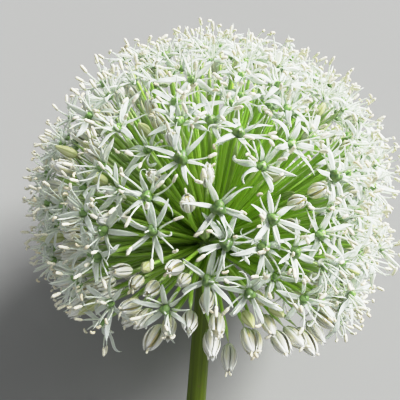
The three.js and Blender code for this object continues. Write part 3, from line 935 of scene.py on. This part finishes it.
def stem_look(colours):
    """Olive skin with long streaks, brown flecks and a faint bloom, and pale pith with a darker rim
    on the cut end."""
    look = Look("stem_skin", 0.5, scaled(colours.stem, 0.8), gloss=0.3, scatter=0.05, depth=0.002)
    _, along = look.uv()
    streaks = look.streaks(7.0, 1.5)
    look.coat(scaled(colours.stem, 1.35), streaks, 0.35, 0.65)
    look.coat(STEM_FLECK, look.grain(420.0), 0.6, 0.75, 0.6)
    look.coat(STEM_BLOOM, look.grain(60.0), 0.45, 0.7, 0.08)
    pith = look.mixed(look.ramp(look.grain(1400.0), 0.35, 0.65), PITH, PALE_PITH)
    pith = look.mixed(look.ramp(along, 0.006, 0.016), pith, PITH_RIM)
    look.coat(pith, along, 0.022, 0.016)
    return look.raised(streaks, 0.3, 0.0004)


def floor_look(colours):
    """A plain pale matt surface with a barely visible grain."""
    look = Look("pale_floor", 0.9, scaled(colours.floor, 0.985), gloss=0.1)
    look.add(colours.floor, look.grain(9.0))
    return look.material


# ---- Operators ----

class AlliumOperator:
    """What the operators share."""

    bl_options = {"REGISTER", "UNDO"}

    def make_thirds(self, context, *pieces):
        """Makes each kind of piece once for each third of the umbel, from the heads in that third."""
        sizes = context.scene.allium_sizes
        heads = place_heads(sizes)
        for name, kinds, make_surface, material, slot in pieces:
            for number, third in enumerate(THIRDS):
                here = (heads.third == number) & np.isin(heads.kind, kinds)
                group = Heads(*(values[here] for values in heads))
                rng = np.random.default_rng([number, len(name), len(group.foot)])
                surface = make_surface(group, sizes, rng)
                make_piece(f"{name}_{third}", surface, material, [f"umbel_third_{third}"])
        return {"FINISHED"}


class ALLIUM_OT_stem(AlliumOperator, bpy.types.Operator):
    """Build the cut stem and the receptacle at its top"""

    bl_idname = "allium.stem"
    bl_label = "Stem and Receptacle"

    def execute(self, context):
        rng = np.random.default_rng(STEM_SEED)
        colours = context.scene.allium_colours
        make_piece("stem_skin", stem_surface(rng), stem_look(colours), ["stem"])
        make_piece("receptacle_knob", knob_surface(rng), pedicel_look(colours),
                   [f"umbel_third_{third}" for third in THIRDS])
        return {"FINISHED"}


class ALLIUM_OT_pedicels(AlliumOperator, bpy.types.Operator):
    """Build the stalks from the receptacle to every floret and bud"""

    bl_idname = "allium.pedicels"
    bl_label = "Pedicels"

    def execute(self, context):
        green = pedicel_look(context.scene.allium_colours)
        return self.make_thirds(context, ("pedicels", ALL_KINDS, pedicel_surface, green, "pedicel"))


class ALLIUM_OT_florets(AlliumOperator, bpy.types.Operator):
    """Build the open florets: tepals, filaments with styles, anthers and ovaries"""

    bl_idname = "allium.florets"
    bl_label = "Open Florets"

    def execute(self, context):
        colours = context.scene.allium_colours
        return self.make_thirds(
            context,
            ("tepals", OPEN, tepal_surface, tepal_look(colours), "tepal"),
            ("filaments", OPEN, filament_surface, filament_look(colours), "stamen"),
            ("anthers", OPEN, anther_surface, anther_look("anther_meal", colours), "stamen"),
            ("ovaries", OPEN, ovary_surface, ovary_look(colours), "ovary"),
        )


class ALLIUM_OT_buds(AlliumOperator, bpy.types.Operator):
    """Build the closed buds, the opening buds and the small green buds"""

    bl_idname = "allium.buds"
    bl_label = "Buds"

    def execute(self, context):
        colours = context.scene.allium_colours
        skin = bud_look("bud_skin", colours.closed_bud, colours.bud_stripe)
        # The young buds' green is partly painted shade.
        young_skin = bud_look("young_bud_skin", YOUNG_BUD, YOUNG_BUD_STRIPE)
        return self.make_thirds(
            context,
            ("buds_closed", BUD, bud_surface, skin, "bud"),
            ("buds_young", YOUNG, bud_surface, young_skin, "bud"),
            ("buds_opening", LANTERN, lantern_surface, lantern_look(colours), "bud"),
            ("bud_anthers", LANTERN, bud_anther_surface, anther_look("bud_anther_meal", colours), "stamen"),
            ("bud_cores", LANTERN, core_surface, core_look(), "bud"),
        )


class ALLIUM_OT_stage(AlliumOperator, bpy.types.Operator):
    """Build the floor, the lights and the camera"""

    bl_idname = "allium.stage"
    bl_label = "Stage"

    def execute(self, context):
        scene = context.scene
        corners = ((-1, -1), (1, -1), (1, 1), (-1, 1))
        mesh = bpy.data.meshes.new("floor")
        mesh.from_pydata([(x * FLOOR_HALF, y * FLOOR_HALF, 0) for x, y in corners], [], [(0, 1, 2, 3)])
        mesh.materials.append(floor_look(scene.allium_colours))
        floor = bpy.data.objects.new("floor", mesh)
        scene.collection.objects.link(floor)
        self.add_light("key_light", "SUN", KEY_ENERGY, KEY_DIRECTION).angle = KEY_SPREAD
        self.add_light("fill_light", "AREA", FILL_ENERGY, FILL_DIRECTION).size = FILL_SIZE
        scene.world = bpy.data.worlds.new("soft_sky")
        scene.world.use_nodes = True
        sky = scene.world.node_tree.nodes["Background"].inputs
        sky["Color"].default_value = SKY_COLOUR
        sky["Strength"].default_value = SKY_STRENGTH
        self.add_camera(scene)
        self.set_tone(scene.view_settings)
        return {"FINISHED"}

    def add_light(self, name, kind, energy, direction):
        """Hangs a light in a direction from the globe, turned to the globe."""
        light = bpy.data.lights.new(name, kind)
        light.energy = energy
        lamp = bpy.data.objects.new(name, light)
        place = GLOBE_CENTRE + LIGHT_DISTANCE * unit(direction)
        lamp.matrix_world = looking(place, -unit(direction), STEMWARD)
        bpy.context.scene.collection.objects.link(lamp)
        return light

    def add_camera(self, scene):
        """The camera at the picture's viewing angle."""
        _, up, forward = camera_axes()
        lens = bpy.data.cameras.new("camera")
        lens.lens = lens.sensor_width * FOCAL_PIXELS / PHOTO_SIDE
        lens.clip_start = 5 * MM
        camera = bpy.data.objects.new("camera", lens)
        camera.matrix_world = looking(CAMERA_PLACE, forward, up)
        scene.collection.objects.link(camera)
        scene.camera = camera

    def set_tone(self, view):
        """Plain display colours, with the highlights eased off like a camera's."""
        view.view_transform = "Standard"
        view.use_curve_mapping = True
        tones = view.curve_mapping
        tones.white_level = (BRIGHTEST, BRIGHTEST, BRIGHTEST)
        curve = tones.curves[3].points
        curve[1].location = TONE_END
        for light, shown in TONE_CURVE:
            curve.new(light, shown)
        tones.update()


def looking(place, forward, up):
    """A matrix at a place whose -Z axis is forward and whose +Y axis is as near up as it can be."""
    right = unit(np.cross(forward, up))
    matrix = np.eye(4)
    matrix[:3] = np.stack([right, np.cross(right, forward), -forward, place], axis=1)
    return mathutils.Matrix(matrix.tolist())


class ALLIUM_PT_panel(bpy.types.Panel):
    """Lists the steps that build the flower"""

    bl_label = "Allium Flower Head"
    bl_idname = "ALLIUM_PT_panel"
    bl_space_type = "VIEW_3D"
    bl_region_type = "UI"
    bl_category = "Allium"

    def draw(self, context):
        for operator in OPERATORS:
            self.layout.operator(operator.bl_idname)
        for settings in (context.scene.allium_sizes, context.scene.allium_colours):
            for name in settings.__annotations__:
                self.layout.prop(settings, name)


OPERATORS = (ALLIUM_OT_stem, ALLIUM_OT_pedicels, ALLIUM_OT_florets, ALLIUM_OT_buds, ALLIUM_OT_stage)
CLASSES = (AlliumSizes, AlliumColours, *OPERATORS, ALLIUM_PT_panel)


def register():
    """Registers the classes and the settings."""
    for made in CLASSES:
        bpy.utils.register_class(made)
    bpy.types.Scene.allium_sizes = bpy.props.PointerProperty(type=AlliumSizes)
    bpy.types.Scene.allium_colours = bpy.props.PointerProperty(type=AlliumColours)


def unregister():
    """Removes the settings and the classes."""
    del bpy.types.Scene.allium_colours
    del bpy.types.Scene.allium_sizes
    for made in reversed(CLASSES):
        bpy.utils.unregister_class(made)


def main():
    """Builds the flower and its stage."""
    register()
    bpy.ops.allium.stem()
    bpy.ops.allium.pedicels()
    bpy.ops.allium.florets()
    bpy.ops.allium.buds()
    bpy.ops.allium.stage()


if __name__ == "__main__":
    main()
